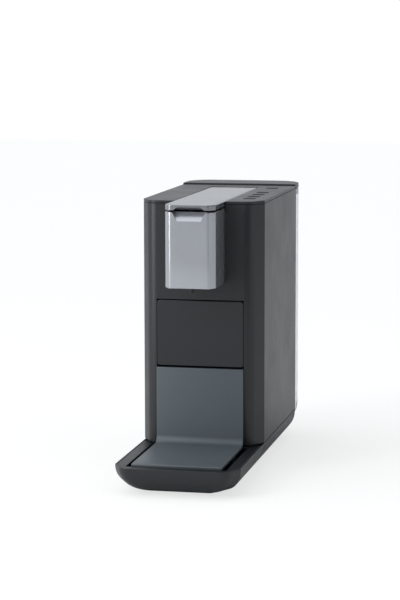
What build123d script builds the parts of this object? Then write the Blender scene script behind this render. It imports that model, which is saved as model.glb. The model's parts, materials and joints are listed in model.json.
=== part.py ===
from build123d import *
import math
import os

# Pod coffee machine. Millimetres, +Z up, front towards -Y.
# The origin is on the table, under the middle of the machine's outer box.

# Driving dimensions
width = 136.0
depth = 407.0
half_width = width / 2
tray_front = -depth / 2
tank_back = depth / 2
body_front = -68.6
body_rear = 157.5
wall = 2.5
base_bottom = 2.0
base_top = 30.0
body_bottom = 31.0
panel_top = 297.0
cover_bottom = 297.5
cover_top = 300.5
lid_top = 302.5
edge_radius = 27.0
# Front corner: flat face, arc, facet, then a crease onto the flat side
flat_inset = 19.2
corner_arc = 13.0
facet_turn = 62.0
crease_depth = 21.5
# Seam between the drip tray and the base, seen from the side
seam_top = -47.0
seam_bottom = -62.0
# Door, cup stand and slots
door_half = 48.4
door_bottom = 117.7
door_top = 191.1
stand_half = 48.7
stand_top = 32.3
stand_plate = 3.6
stand_front = -189.0
stand_panel_top = 116.3
stand_panel_front = -71.4
stand_panel_back = -69.0
tray_opening_half = 54.0
# Brew head and lever
head_half = 27.5
head_front = -125.6
head_bottom = 211.0
head_top = 293.0
head_scale = 0.42
lever_bottom = 295.2
lever_top = 301.0
lever_rear = 124.0
lever_wall = 1.6
slot_half = 28.2
slot_rear = 127.0
hinge_y = 115.0
hinge_z = 290.0
hinge_radius = 3.0
crank_length = 20.0
lever_opening = 70.0
pin_radius = 2.5
brew_z = 248.0
chamber_mouth = -36.0
chamber_radius = 24.0
spout_y = -108.0
spout_tip = 205.0
# Pump, meter and heater stand on these lines
pump_x = -20.0
pump_z = 62.0
pump_plates = [40.0, 106.0]
meter_x = 24.0
meter_y = 100.0
meter_z = 57.0
heater_rear = 84.0
# Mains lead inlet in the rear of the base
inlet_x = -40.0
inlet_z = 16.0
# Buttons on the top cover
button_size = 13.0
button_x = 47.3
button_places = [-28.6, -2.1, 24.4, 50.9]
power_y = 112.6
button_gap = 0.4
# Water tank
tank_front = 158.5
tank_bottom = 28.0
tank_top = 290.0
tank_wall = 2.2
tank_corner = 29.0
tank_belly = 50.0
dock_half = 26.0
dock_rear = 186.0
dock_top = 44.0
lid_front = 153.3
lid_hinge_y = 202.0
lid_hinge_z = 299.0
lid_bottom = 297.3
lid_pin = 0.9
ear_radius = 1.45
ear_place = 34.0
pin_reach = 38.0
collar_top = 296.2
valve_y = 172.0

# Screws through the rear wall into the side panels
screw_x = 60.0
screw_heights = [70, 175, 280]

os.makedirs("parts", exist_ok=True)


def save(solid, name):
    export_step(solid, f"parts/{name}.step")


def box(x0, x1, y0, y1, z0, z1):
    block = Box(x1 - x0, y1 - y0, z1 - z0)
    return Pos((x0 + x1) / 2, (y0 + y1) / 2, (z0 + z1) / 2) * block


def rod(radius, x, z, y0, y1):
    """Cylinder along Y."""
    return Pos(x, (y0 + y1) / 2, z) * Rot(90, 0, 0) * Cylinder(radius, y1 - y0)


def axle(radius, y, z, x0, x1):
    """Cylinder along X."""
    return Pos((x0 + x1) / 2, y, z) * Rot(0, 90, 0) * Cylinder(radius, x1 - x0)


def post(radius, x, y, z0, z1):
    """Cylinder along Z."""
    return Pos(x, y, (z0 + z1) / 2) * Cylinder(radius, z1 - z0)


def loop(points):
    """Closed outline: a point is a corner, a pair is an arc's middle and end."""
    edges = []
    here = points[0]
    for step in points[1:]:
        if isinstance(step[0], tuple):
            edges.append(ThreePointArc(here, step[0], step[1]))
            here = step[1]
        else:
            edges.append(Line(here, step))
            here = step
    if math.dist(here, points[0]) > 1e-6:
        edges.append(Line(here, points[0]))
    return make_face(Wire(edges))


def plan(half, front, rear, scale=1.0, inset=0.0):
    """Outline seen from above: square at the rear, the machine's own corners at the front."""
    turn = math.radians(facet_turn)
    arc = corner_arc * scale
    flat = half - flat_inset * scale
    mid = (flat + arc * math.sin(turn / 2), front + arc * (1 - math.cos(turn / 2)))
    end = (flat + arc * math.sin(turn), front + arc * (1 - math.cos(turn)))
    crease = front + crease_depth * scale
    shape = loop([
        (-flat, front), (flat, front), (mid, end), (half, crease), (half, rear),
        (-half, rear), (-half, crease), (-end[0], end[1]), ((-mid[0], mid[1]), (-flat, front)),
    ])
    if inset:
        shape = offset(shape, -inset, kind=Kind.INTERSECTION)
    return shape


def prism(face, z0, z1):
    """Plan outline raised from z0 to z1."""
    return extrude(Pos(0, 0, z0) * face, z1 - z0)


def along_y(face, y0, y1):
    """Outline drawn as (x, z), carried along Y."""
    return extrude(Plane.XZ.offset(-y0) * face, -(y1 - y0))


def along_x(face, x0, x1):
    """Outline drawn as (y, z), carried along X."""
    return extrude(Plane.YZ.offset(x0) * face, x1 - x0)


def tub_section(inset, top):
    """Cross-section of the tray and base: flat bottom and big round lower edges."""
    side = half_width - inset
    low = base_bottom + inset
    bend = edge_radius - inset
    reach = bend * math.sin(math.radians(45))
    return loop([
        (-side, top), (-side, low + bend),
        ((-side + bend - reach, low + bend - reach), (-side + bend, low)),
        (side - bend, low), ((side - bend + reach, low + bend - reach), (side, low + bend)),
        (side, top),
    ])


def seam_middle(shift, low, top):
    """A point on the curved tray seam, halfway up."""
    return (seam_top + shift - 4.5, (low + top) / 2 + 1.0)


def tray_solid(inset, top):
    """The drip tray's outer form, or its hollow when inset."""
    bend = edge_radius - inset
    reach = bend * math.sin(math.radians(45))
    low = base_bottom + inset
    front = tray_front + inset
    shift = -0.6 - inset
    side_view = loop([
        (front, top), (front, low + bend),
        ((front + bend - reach, low + bend - reach), (front + bend, low)),
        (seam_bottom + shift, low),
        (seam_middle(shift, low, top), (seam_top + shift, top)),
    ])
    form = along_x(side_view, -half_width, half_width)
    form &= along_y(tub_section(inset, top), tray_front, 0)
    return form & prism(plan(half_width, tray_front, 0, inset=inset), 0, top)


def drip_tray():
    shell = tray_solid(0, base_top)
    shell -= tray_solid(wall, base_top + 1) & box(-70, 70, tray_front, 0, 0, 24.0)
    shell -= tray_solid(wall + 1.5, base_top + 1) & box(-70, 70, tray_front, 0, 20, base_top + 1)
    shell -= prism(plan(half_width, tray_front, -51.0, inset=1.5), 27.4, base_top + 1) \
        & tray_solid(1.5, base_top + 1)
    save(shell, "drip_tray_shell")
    rim = prism(plan(half_width, tray_front, -53.5, inset=1.8), 27.5, 29.8)
    rim -= box(-tray_opening_half, tray_opening_half, stand_front - 3.0, -72.0, 20, 40)
    save(rim, "drip_tray_rim")
    pads = [post(7, x, -165, 0, base_bottom) for x in (-30, 30)]
    save(Compound(pads), "tray_feet")


def cup_stand():
    """Platform and back panel in one piece, with legs that stand on the tray floor."""
    low = stand_top - stand_plate
    bend = 8.0
    reach = bend * (1 - math.sin(math.radians(45)))
    back = reach + (stand_panel_front - stand_panel_back) * 0.8
    outline = loop([
        (stand_front, low), (stand_front, stand_top), (stand_panel_front - bend, stand_top),
        ((stand_panel_front - reach, stand_top + reach), (stand_panel_front, stand_top + bend)),
        (stand_panel_front, stand_panel_top), (stand_panel_back, stand_panel_top),
        (stand_panel_back, stand_top + bend),
        ((stand_panel_front - back, stand_top + back), (stand_panel_front - bend, low)),
    ])
    stand = along_x(outline, -stand_half, stand_half)
    for x in (-40, 40):
        for y in (-168, -88):
            stand += post(4, x, y, base_bottom + wall + 0.3, low + 1)
    save(stand, "cup_stand")


def base_pan():
    outline = loop([
        (seam_bottom, base_bottom), (seam_middle(0, base_bottom, base_top), (seam_top, base_top)),
        (body_rear, base_top), (body_rear, base_bottom + 10),
        ((body_rear - 2.93, base_bottom + 2.93), (body_rear - 10, base_bottom)),
    ])
    base = along_x(outline, -half_width, half_width)
    base &= along_y(tub_section(0, base_top), -80, 170)
    hollow = along_y(tub_section(wall, base_top + 2), -80, body_rear - wall)
    base -= hollow & box(-70, 70, -80, 160, 0, base_top - wall)
    inlet = rod(4.2, inlet_x, inlet_z, body_rear - 5, body_rear + 1)
    save(base - inlet, "base_pan")
    feet = [post(8, x, y, 0, base_bottom) for x in (-33, 33) for y in (-40, 138)]
    save(Compound(feet), "rubber_feet")
    gland = rod(4.1, inlet_x, inlet_z, body_rear - 12, body_rear + 0.4)
    gland += rod(7, inlet_x, inlet_z, body_rear - 12, body_rear - wall - 0.1)
    gland -= rod(2.9, inlet_x, inlet_z, body_rear - 13, body_rear + 2)
    save(gland, "cord_gland")


def boss(x, z):
    """Screw boss on a side panel, in front of the rear wall."""
    outer = math.copysign(half_width - 1.0, x)
    x0, x1 = sorted((x - math.copysign(4.0, x), outer))
    return box(x0, x1, 140.0, 151.8, z - 4, z + 4) - rod(1.45, x, z, 143.0, 152.0)


def casing():
    """Two side panels that wrap round the front corners, fascia, walls."""
    outer = plan(half_width, body_front, body_rear)
    inner = plan(half_width, body_front, body_rear + 20, inset=wall)
    skin = prism(outer, body_bottom, panel_top) - prism(inner, 0, 400)
    left = skin & box(-80, -48.9, -80, 170, 0, 400)
    right = skin & box(48.9, 80, -80, 170, 0, 400)
    for z in screw_heights:
        left += boss(-screw_x, z)
        right += boss(screw_x, z)
    for y in (25, 135):
        for z in (155, 265):
            right += axle(3.0, y, z, 59.7, half_width - wall + 0.5)
    save(left, "left_side_panel")
    save(right, "right_side_panel")
    fascia = box(-48.7, 48.7, body_front, body_front + wall, door_top + 0.8, panel_top)
    fascia -= box(-25, 25, -80, -60, 216, 300)
    fascia -= box(-slot_half, slot_half, -80, -60, 288.8, 300)
    save(fascia, "front_fascia")
    lower = box(-48.7, 48.7, body_front + 0.2, body_front + 0.2 + wall, body_bottom, 113.8)
    save(lower, "lower_front_wall")
    rear = box(-65.3, 65.3, 152.0, 155.0, body_bottom + 1, 296.5)
    rear -= rod(4.5, 10, 37, 150, 160)
    for x in (-screw_x, screw_x):
        for z in screw_heights:
            rear -= rod(1.6, x, z, 150, 160)
    save(rear, "rear_wall")
    shelf = prism(plan(half_width, body_front, 151.5, inset=wall + 0.2), 114.2, 116.2)
    for x in (-51, 51):
        shelf -= box(x - 11, x + 11, 60, 145, 110, 120)
    shelf += box(-18, 18, 52, 82, 116.0, 121.8)
    save(shelf, "chassis_shelf")


def top_cover():
    """Thin cover with a channel for the lever and windows for the buttons."""
    cover = prism(plan(half_width, body_front, 152.5), cover_bottom, cover_top)
    cover = chamfer(cover.faces().sort_by(Axis.Z)[-1].outer_wire().edges(), 0.8)
    cover -= box(-slot_half, slot_half, -80, slot_rear, 290, 310)
    channel_half = slot_half + 1.6
    channel_rear = slot_rear + 2.0
    channel = box(-channel_half, channel_half, body_front + 3, channel_rear + 1.6, 289.0, cover_bottom + 0.2)
    channel -= box(-slot_half, slot_half, -80, slot_rear, 291.0, 310)
    channel -= box(-slot_half, slot_half, 82.0, channel_rear, 280, cover_bottom)
    channel -= box(-19.5, 19.5, -61.0, -37.0, 280, 310)
    channel -= axle(hinge_radius + 0.2, hinge_y, hinge_z, -40, 40)
    cover += channel
    for x in (42, 60):
        for y in (-38, 122):
            cover += post(1.8, x, y, 289.7, cover_bottom + 0.5)
    hole = button_size / 2 + button_gap
    for y in button_places + [power_y]:
        cover -= box(button_x - hole, button_x + hole, y - hole, y + hole, 290, 310)
    save(cover, "top_cover")
    chute = box(-21.5, 21.5, -63.0, -35.0, 276.0, 288.8) - box(-19.5, 19.5, -61.0, -37.0, 270, 300)
    save(chute, "pod_chute")


def buttons():
    for index, y in enumerate(button_places + [power_y]):
        half = button_size / 2
        cap = box(button_x - half, button_x + half, y - half, y + half, 297.2, cover_top + 0.2)
        cap = fillet(cap.edges().filter_by(Axis.Z), 2.0)
        cap += post(2.5, button_x, y, 294.4, 297.4)
        save(cap, "power_button" if y == power_y else f"selection_button_{index + 1}")
    board = box(38.5, 62, -42, 126, 288.0, 289.6)
    for y in button_places + [power_y]:
        board += box(button_x - 3, button_x + 3, y - 3, y + 3, 289.6, 293.4)
    save(board, "button_board")


def wedge(half_low, half_high, z0, z1, front, deep_at):
    """Finger recess: a trapezium seen from the front, cut on a slope."""
    face = loop([(-half_low, z0), (half_low, z0), (half_high, z1), (-half_high, z1)])
    slab = along_y(face, front - 1, front + 12)
    if deep_at == "top":
        side = loop([(front - 1, z0), (front, z0), (front + 7.5, z1), (front - 1, z1)])
    else:
        side = loop([(front - 1, z0), (front + 7.5, z0), (front, z1), (front - 1, z1)])
    return slab & along_x(side, -40, 40)


def brew_head():
    outer = prism(plan(head_half, head_front, body_front - 0.2, head_scale), head_bottom, head_top)
    outer = chamfer(outer.faces().sort_by(Axis.Z)[0].outer_wire().edges(), 0.6)
    inner = plan(head_half, head_front, body_front + 20, head_scale, inset=2.0)
    shell = outer - prism(inner, 0, 400)
    shell += box(-19.5, 19.5, head_front + 1.5, head_front + 9.5, 281.0, head_top)
    shell -= wedge(13.0, 18.2, 283.5, head_top + 0.01, head_front, "top")
    save(shell, "brew_head_shell")
    top = prism(plan(head_half, head_front + 9.8, body_front - 0.4, head_scale, inset=2.2), 289.0, 292.0)
    save(top, "head_top_plate")
    under = prism(plan(head_half, head_front, body_front - 0.4, head_scale, inset=2.2), 212.0, 215.0)
    under -= post(6.1, 0, spout_y, 200, 220)
    save(under, "head_underside")
    spout = post(6.0, 0, spout_y, head_bottom - 2, 218.0) + post(8.0, 0, spout_y, 215.1, 218.0)
    spout += post(2.6, 0, spout_y, spout_tip, head_bottom - 1)
    spout += box(-9, 9, spout_y - 8, -42.0, 217.9, 224.0) - box(-7, 7, spout_y - 6.5, -43.5, 220.0, 230)
    spout -= post(3.5, 0, spout_y, head_bottom, 225) + post(1.6, 0, spout_y, 200, head_bottom + 1)
    save(spout, "coffee_spout")


def lever():
    outline = plan(head_half, head_front, lever_rear, head_scale)
    cover = prism(outline, lever_bottom, lever_top)
    cover = fillet(cover.edges().filter_by(Axis.X).group_by(Axis.Y)[-1].sort_by(Axis.Z)[-1:], 4.0)
    inner = plan(head_half, head_front + 8.2, lever_rear - 2, head_scale, inset=lever_wall)
    cover -= prism(inner, lever_bottom - 1, lever_top - lever_wall)
    cover -= wedge(17.0, 12.5, lever_bottom - 0.01, 298.5, head_front, "bottom")
    save(cover, "lever_cover")
    frame = box(-24.5, 24.5, -104.0, lever_rear - 6, 296.0, 299.2)
    frame -= box(-8, 8, -96, 70, 290, 297.6)
    for x in (-23.5, 17.5):
        ear = axle(6.0, hinge_y, hinge_z, x, x + 6) + box(x, x + 6, hinge_y - 5, hinge_y + 2, hinge_z, 297)
        frame += ear
    frame -= axle(hinge_radius, hinge_y, hinge_z, -30, 30)
    save(frame, "lever_frame")
    save(axle(hinge_radius, hinge_y, hinge_z, -37.5, 37.5), "lever_hinge_shaft")
    cranks = []
    half_turn = math.radians(lever_opening / 2)
    pin_y = hinge_y + crank_length * math.sin(half_turn)
    pin_z = hinge_z - crank_length * math.cos(half_turn)
    for side in (-1, 1):
        x0, x1 = sorted((side * 24.3, side * 26.3))
        arm = axle(4.8, hinge_y, hinge_z, x0, x1) + axle(4.5, pin_y, pin_z, x0, x1)
        web = loop([(hinge_y - 4.5, hinge_z - 2), (hinge_y + 4.5, hinge_z), (pin_y + 3.6, pin_z + 2),
                    (pin_y - 4, pin_z)])
        arm += along_x(web, x0, x1)
        x2, x3 = sorted((side * 25, side * 32))
        arm += axle(pin_radius, pin_y, pin_z, x2, x3)
        cranks.append(arm - axle(hinge_radius, hinge_y, hinge_z, x0, x1))
    save(Compound(cranks), "lever_cranks")


def clamp():
    """Yoke driven by the cranks: two rods that carry the clamp plate."""
    clamp_front = chamber_mouth - 6.8
    pin_y = hinge_y + crank_length * math.sin(math.radians(lever_opening / 2))
    rods = []
    for side in (-1, 1):
        x0, x1 = sorted((side * 27.0, side * 31.0))
        bar = box(x0, x1, clamp_front, pin_y - 7, 268.5, 275.0)
        bar += box(x0, x1, pin_y - 7.2, pin_y + 7.2, 261.5, 283.0)
        slot = pin_radius + 0.6
        bar -= box(x0 - 1, x1 + 1, pin_y - slot, pin_y + slot, 265.5, 279.0)
        rods.append(bar)
    save(Compound(rods), "yoke_rods")
    rear = chamber_mouth - 2.5
    plate = rod(chamber_radius, 0, brew_z, rear - 8, rear)
    plate += box(-31, 31, clamp_front, rear - 0.5, 262, 268.4)
    plate -= rod(3.0, 0, brew_z - 12, rear - 9, rear + 1)
    plate += rod(3.0, 0, brew_z - 12, rear - 14, rear - 7.5) - rod(1.8, 0, brew_z - 12, rear - 20, rear)
    plate += post(3.0, 0, rear - 14, 230.0, brew_z - 12) - post(1.8, 0, rear - 14, 220, brew_z - 10)
    save(plate, "clamp_plate")
    gasket = rod(20.0, 0, brew_z, rear, rear + 1.5) - rod(16.0, 0, brew_z, rear - 1, rear + 3)
    save(gasket, "clamp_gasket")


def brew_unit():
    cup = rod(chamber_radius, 0, brew_z, chamber_mouth, 6.0)
    cup -= rod(20.5, 0, brew_z, chamber_mouth - 1, -2.0)
    cup -= rod(2.0, 0, brew_z, -10, 10)
    save(cup, "brew_chamber")
    ring = rod(20.4, 0, brew_z, chamber_mouth + 1, chamber_mouth + 4)
    save(ring - rod(18.5, 0, brew_z, -50, 0), "chamber_seal")
    needle = rod(1.9, 0, brew_z, -14.0, 9.0) + rod(5.0, 0, brew_z, 6.1, 9.0)
    needle -= rod(0.8, 0, brew_z, -20, 12)
    save(needle, "piercing_needle")
    frame = box(-33.6, 33.6, 7.0, 60.0, 256.0, 259.0) + box(-26, 26, 6.1, 9.0, 226, 259)
    frame -= rod(5.1, 0, brew_z, 0, 12)
    for side in (-1, 1):
        x0, x1 = sorted((side * 33.5, side * 36.5))
        frame += box(x0, x1, -65.9, hinge_y + 10, 255.9, 296.5)
        frame += box(x0, x1, hinge_y - 12, hinge_y + 6, 116.3, 258)
    frame -= axle(hinge_radius + 0.05, hinge_y, hinge_z, -40, 40)
    save(frame, "brew_unit_frame")


def pod_bin():
    """Used-pod bin with the door as its front."""
    tub = box(-46, 46, -65.4, 30, 118.5, 188) - box(-44, 44, -63.4, 28, 120.5, 200)
    save(tub, "pod_bin")
    door = box(-door_half, door_half, body_front, body_front + 3, 118.0, 190.8)
    door = fillet(door.edges().filter_by(Axis.Y), 3.2)
    save(door, "bin_door")


def water_path():
    """Pump on its brackets, flow meter, heater and the hoses between them."""
    coil = box(pump_x - 23, pump_x + 23, 55, 98, 40, 84) - rod(9.3, pump_x, pump_z, 50, 110)
    save(coil, "pump_coil")
    body = rod(9.1, pump_x, pump_z, 32, 118) + rod(4.0, pump_x, pump_z, 24, 126)
    save(body - rod(1.5, pump_x, pump_z, 20, 130), "pump_body")
    dampers = []
    brackets = []
    for y in pump_plates:
        dampers.append(rod(14, pump_x, pump_z, y, y + 5) - rod(9.2, pump_x, pump_z, y - 1, y + 6))
        plate = box(pump_x - 20, pump_x + 20, y, y + 5, base_top + 0.1, 82)
        brackets.append(plate - rod(14.1, pump_x, pump_z, y - 1, y + 6))
    save(Compound(dampers), "pump_dampers")
    save(Compound(brackets), "pump_brackets")
    meter = post(16, meter_x, meter_y, meter_z - 11, meter_z + 11)
    meter += rod(3.0, meter_x, meter_z, meter_y - 22, meter_y + 22)
    save(meter, "flow_meter")
    heater = box(-35, 35, 50, heater_rear, 122, 206)
    heater = fillet(heater.edges().filter_by(Axis.Y), 8)
    save(heater, "thermoblock")
    cutouts = [rod(8, x, 165, heater_rear + 0.1, heater_rear + 6) for x in (-18, 18)]
    save(Compound(cutouts), "thermal_cutouts")
    board = box(58.0, 59.6, 20, 140, 150, 270)
    board += box(40, 58.5, 34, 62, 160, 190) + box(44, 58.5, 75, 95, 165, 185)
    board += box(44, 58.5, 75, 95, 200, 220) + axle(8, 128, 180, 42, 58.5)
    save(board, "main_board")


def hose(name, points, radii, bore=1.5, outer=3.0):
    path = FilletPolyline(*points, radius=radii)
    start = Plane(origin=path @ 0, z_dir=path % 0)
    ring = start * (Circle(outer) - Circle(bore))
    tube = sweep(ring, path=path)
    length = path.length
    print(name, "radii", radii, "length", round(length, 1),
          "volume ratio", round(tube.volume / (ring.area * length), 4))
    save(tube, name)


def hoses():
    """Tank to meter, meter to pump, pump to heater, heater to brew chamber."""
    hose("inlet_hose", [(10, 151.5, 37), (10, 138, 37), (meter_x, 138, meter_z), (meter_x, 122.2, meter_z)],
         [8.0, 8.0])
    hose("meter_hose", [(meter_x, 77.8, meter_z), (meter_x, 6, meter_z), (pump_x, 6, pump_z),
                        (pump_x, 23.8, pump_z)], [22.0, 14.0])
    hose("pressure_hose", [(pump_x, 126.2, pump_z), (pump_x, 140, pump_z), (-44, 140, 78), (-44, 140, 190),
                           (0, 140, 190), (0, heater_rear + 0.2, 190)], [9.0, 14.0, 18.0, 20.0])
    hose("brew_hose", [(0, 9.2, brew_z), (0, 34, brew_z), (0, 34, 220), (0, 67, 220), (0, 67, 206.2)],
         [12.0, 12.0, 8.0])


def tank_form(inset, top):
    """Tank outer form: round rear corners and a round belly under its back."""
    front = tank_front + inset
    back = tank_back - inset
    side = half_width - inset
    bend = tank_corner - inset
    reach = bend * (1 - math.sin(math.radians(45)))
    outline = loop([
        (-side, front), (side, front), (side, back - bend),
        ((side - reach, back - reach), (side - bend, back)), (-side + bend, back),
        ((-side + reach, back - reach), (-side, back - bend)),
    ])
    belly = tank_belly - inset
    mid_y = back - belly * (1 - math.sin(math.radians(40)))
    mid_z = tank_bottom + tank_belly - belly * math.cos(math.radians(40))
    low_y = front
    drop = tank_back - tank_belly
    low_z = tank_bottom + tank_belly - math.sqrt(belly ** 2 - (low_y - drop) ** 2)
    side_view = loop([
        (front, top), (low_y, low_z), ((mid_y, mid_z), (back, tank_bottom + tank_belly)), (back, top),
    ])
    return prism(outline, 0, top) & along_x(side_view, -half_width, half_width)


def water_tank():
    recess = box(-dock_half - 1, dock_half + 1, 150, dock_rear + 1, 0, dock_top + 0.2)
    liner = box(-dock_half - 1 - tank_wall, dock_half + 1 + tank_wall, 150, dock_rear + 1 + tank_wall,
                0, dock_top + 0.2 + tank_wall)
    tank = tank_form(0, tank_top) - (tank_form(tank_wall, tank_top + 5) - liner)
    tank = tank - recess - post(7.0, 0, valve_y, 30, 60)
    save(tank, "water_tank")
    collar = tank_form(0, collar_top) - tank_form(tank_wall + 0.6, 310)
    collar &= box(-80, 80, 150, 210, tank_top + 0.1, collar_top)
    for x in (-ear_place, ear_place):
        ear = axle(ear_radius, lid_hinge_y, lid_hinge_z, x - 2.5, x + 2.5)
        ear += box(x - 2.5, x + 2.5, lid_hinge_y - ear_radius, lid_hinge_y + ear_radius, 294, lid_hinge_z)
        collar += ear
    collar -= axle(lid_pin + 0.05, lid_hinge_y, lid_hinge_z, -pin_reach - 2, pin_reach + 2)
    save(collar, "tank_collar")
    housing = post(6.9, 0, valve_y, dock_top + 0.3, 62) - post(4.0, 0, valve_y, 40, 60.0)
    housing -= post(1.6, 0, valve_y, 50, 70)
    save(housing, "tank_valve_housing")
    mesh = post(9.0, 0, valve_y, 46.6, 76) - post(8.2, 0, valve_y, 40, 75)
    save(mesh, "tank_filter")
    plunger = post(3.7, 0, valve_y, 52.0, 54.0) + post(1.3, 0, valve_y, 50.5, 66.0)
    save(plunger, "valve_plunger")


def tank_lid():
    half = half_width
    bend = tank_corner
    reach = bend * (1 - math.sin(math.radians(45)))
    outline = loop([
        (-half, lid_front), (half, lid_front), (half, tank_back - bend),
        ((half - reach, tank_back - reach), (half - bend, tank_back)), (-half + bend, tank_back),
        ((-half + reach, tank_back - reach), (-half, tank_back - bend)),
    ])
    lid = prism(outline, lid_bottom, lid_top)
    lid = fillet(lid.faces().sort_by(Axis.Z)[-1].outer_wire().edges(), 1.2)
    for x in (-ear_place, ear_place):
        lid -= box(x - 3.2, x + 3.2, lid_hinge_y - 2.2, tank_back + 1, 290, 301.0)
    lid -= axle(lid_pin, lid_hinge_y, lid_hinge_z, -pin_reach, pin_reach)
    save(lid, "tank_lid")
    save(axle(lid_pin, lid_hinge_y, lid_hinge_z, -pin_reach, pin_reach), "lid_hinge_pin")


def tank_dock():
    """Shelf that carries the tank, with its nipple and seal."""
    dock = box(-dock_half, dock_half, 155.2, dock_rear, 30.5, dock_top)
    dock += post(3.4, 0, valve_y, dock_top - 1, 47.5) + post(1.2, 0, valve_y, 46, 50.4)
    dock += rod(4.4, 10, 37, 151.6, 156)
    dock -= rod(2.0, 10, 37, 150, 176)
    save(dock, "tank_dock")
    seal = post(3.95, 0, valve_y, 45.0, 46.6) - post(3.45, 0, valve_y, 40, 50)
    save(seal, "dock_seal")


def case_screws():
    screws = []
    for x in (-screw_x, screw_x):
        for z in screw_heights:
            screws.append(rod(3.0, x, z, 155.1, 157.0) + rod(1.4, x, z, 145.0, 155.2))
    save(Compound(screws), "case_screws")


drip_tray()
cup_stand()
base_pan()
casing()
top_cover()
buttons()
brew_head()
lever()
clamp()
brew_unit()
pod_bin()
water_path()
hoses()
water_tank()
tank_lid()
tank_dock()
case_screws()
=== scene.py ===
import json
import math
import bmesh
import bpy
import numpy as np
from mathutils import Matrix, Vector
from mathutils.geometry import delaunay_2d_cdt


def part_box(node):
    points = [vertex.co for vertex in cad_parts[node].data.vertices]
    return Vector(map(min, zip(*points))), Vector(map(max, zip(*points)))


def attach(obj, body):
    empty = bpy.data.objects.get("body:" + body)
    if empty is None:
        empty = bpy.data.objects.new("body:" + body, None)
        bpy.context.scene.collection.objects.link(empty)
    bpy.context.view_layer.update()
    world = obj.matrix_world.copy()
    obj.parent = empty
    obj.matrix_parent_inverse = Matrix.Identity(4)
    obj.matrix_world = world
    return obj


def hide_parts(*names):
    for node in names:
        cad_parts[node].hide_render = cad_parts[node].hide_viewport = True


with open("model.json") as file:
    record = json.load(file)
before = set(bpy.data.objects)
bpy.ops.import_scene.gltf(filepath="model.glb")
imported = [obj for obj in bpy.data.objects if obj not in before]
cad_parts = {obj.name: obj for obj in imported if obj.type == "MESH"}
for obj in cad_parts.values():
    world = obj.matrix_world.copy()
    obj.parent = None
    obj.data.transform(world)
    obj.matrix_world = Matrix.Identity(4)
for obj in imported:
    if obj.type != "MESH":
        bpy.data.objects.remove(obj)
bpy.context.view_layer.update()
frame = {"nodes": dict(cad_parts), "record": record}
print("frame loaded:", len(frame["nodes"]), "nodes")

mm = 0.001
scene = bpy.context.scene


def span(node):
    # a node's lowest and highest corner, in millimetres
    low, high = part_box(node)
    return np.array(low) / mm, np.array(high) / mm


# camera, floor and studio light

shot = {
    "turn": 12.142,      # degrees to the machine's right of straight on
    "tilt": 7.736,       # degrees down
    "roll": -0.101,
    "distance": 2285.4,  # from the aim point
    "aimHeight": 191.7,
    "lens": 125.2,
    "sensor": 36,
}


def makeCamera():
    # it stands behind the aim point by the distance, along a line turned round z and then tilted up
    turn, tilt, roll = (math.radians(shot[k]) for k in ("turn", "tilt", "roll"))
    back = Vector((math.sin(turn) * math.cos(tilt), -math.cos(turn) * math.cos(tilt), math.sin(tilt)))
    right = (-back).cross(Vector((0, 0, 1))).normalized()
    up = back.cross(right)
    side = right * math.cos(roll) + up * math.sin(roll)
    top = up * math.cos(roll) - right * math.sin(roll)
    aim = Vector((0, span("front_fascia")[0][1], shot["aimHeight"])) * mm
    camera = bpy.data.objects.new("camera", bpy.data.cameras.new("camera"))
    scene.collection.objects.link(camera)
    camera.data.lens = shot["lens"]
    camera.data.sensor_width = shot["sensor"]
    turned = Matrix((side, top, back)).transposed().to_4x4()
    camera.matrix_world = Matrix.Translation(aim + back * shot["distance"] * mm) @ turned
    scene.camera = camera


room = {
    "wall": 0.90,        # brightness of the white room
    # bearing from the front, degrees to the machine's right, and brightness there compared with the wall:
    # a narrow dark upright stands at the front right, and a dimmer stretch at the right
    "bearings": ((-180, 1.0), (-100, 1.0), (-60, 0.85), (-14, 0.62), (-5, 0.45), (4, 0.06), (44, 0.06),
                 (60, 1.0), (96, 1.0), (106, 0.42), (132, 0.42), (152, 1.0), (180, 1.0)),
    "tint": (0.93, 0.965, 1.0),
    "backdrop": 1.02,    # brightness where the camera sees the room itself
}


def makeRoom():
    # a white room whose brightness depends only on the bearing: a dark strip stands at the front right
    world = bpy.data.worlds.new("softRoom")
    scene.world = world
    world.use_nodes = True
    tree = world.node_tree
    sky = tree.nodes["Background"]
    add = tree.nodes.new
    place = add("ShaderNodeTexCoord")
    axes = add("ShaderNodeSeparateXYZ")
    tree.links.new(place.outputs["Generated"], axes.inputs[0])
    front = add("ShaderNodeMath")
    front.operation = "MULTIPLY"
    front.inputs[1].default_value = -1
    tree.links.new(axes.outputs["Y"], front.inputs[0])
    bearing = add("ShaderNodeMath")
    bearing.operation = "ARCTAN2"
    tree.links.new(axes.outputs["X"], bearing.inputs[0])
    tree.links.new(front.outputs[0], bearing.inputs[1])
    turn = add("ShaderNodeMapRange")
    turn.inputs["From Min"].default_value = -math.pi
    turn.inputs["From Max"].default_value = math.pi
    tree.links.new(bearing.outputs[0], turn.inputs["Value"])
    ramp = add("ShaderNodeValToRGB")
    tree.links.new(turn.outputs["Result"], ramp.inputs["Fac"])
    band = ramp.color_ramp.elements
    while len(band) < len(room["bearings"]):
        band.new(0.5)
    for stop, (angle, share) in zip(band, room["bearings"]):
        stop.position = (angle + 180) / 360
        stop.color = (*[room["wall"] * share * t for t in room["tint"]], 1)
    seen = add("ShaderNodeLightPath")
    both = add("ShaderNodeMix")
    both.data_type = "RGBA"
    tree.links.new(seen.outputs["Is Camera Ray"], both.inputs["Factor"])
    tree.links.new(ramp.outputs["Color"], both.inputs["A"])
    both.inputs["B"].default_value = (*[room["backdrop"]] * 3, 1)
    tree.links.new(both.outputs["Result"], sky.inputs["Color"])


paper = {
    "reach": 6.0,
    "white": 0.8,
    "rough": 0.9,
    "glow": 1.12,        # brightness of the light from inside the paper, which only the camera sees
    "glowShare": 0.62,   # how much of it: keeps the shadows on the paper soft and pale
}


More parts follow.
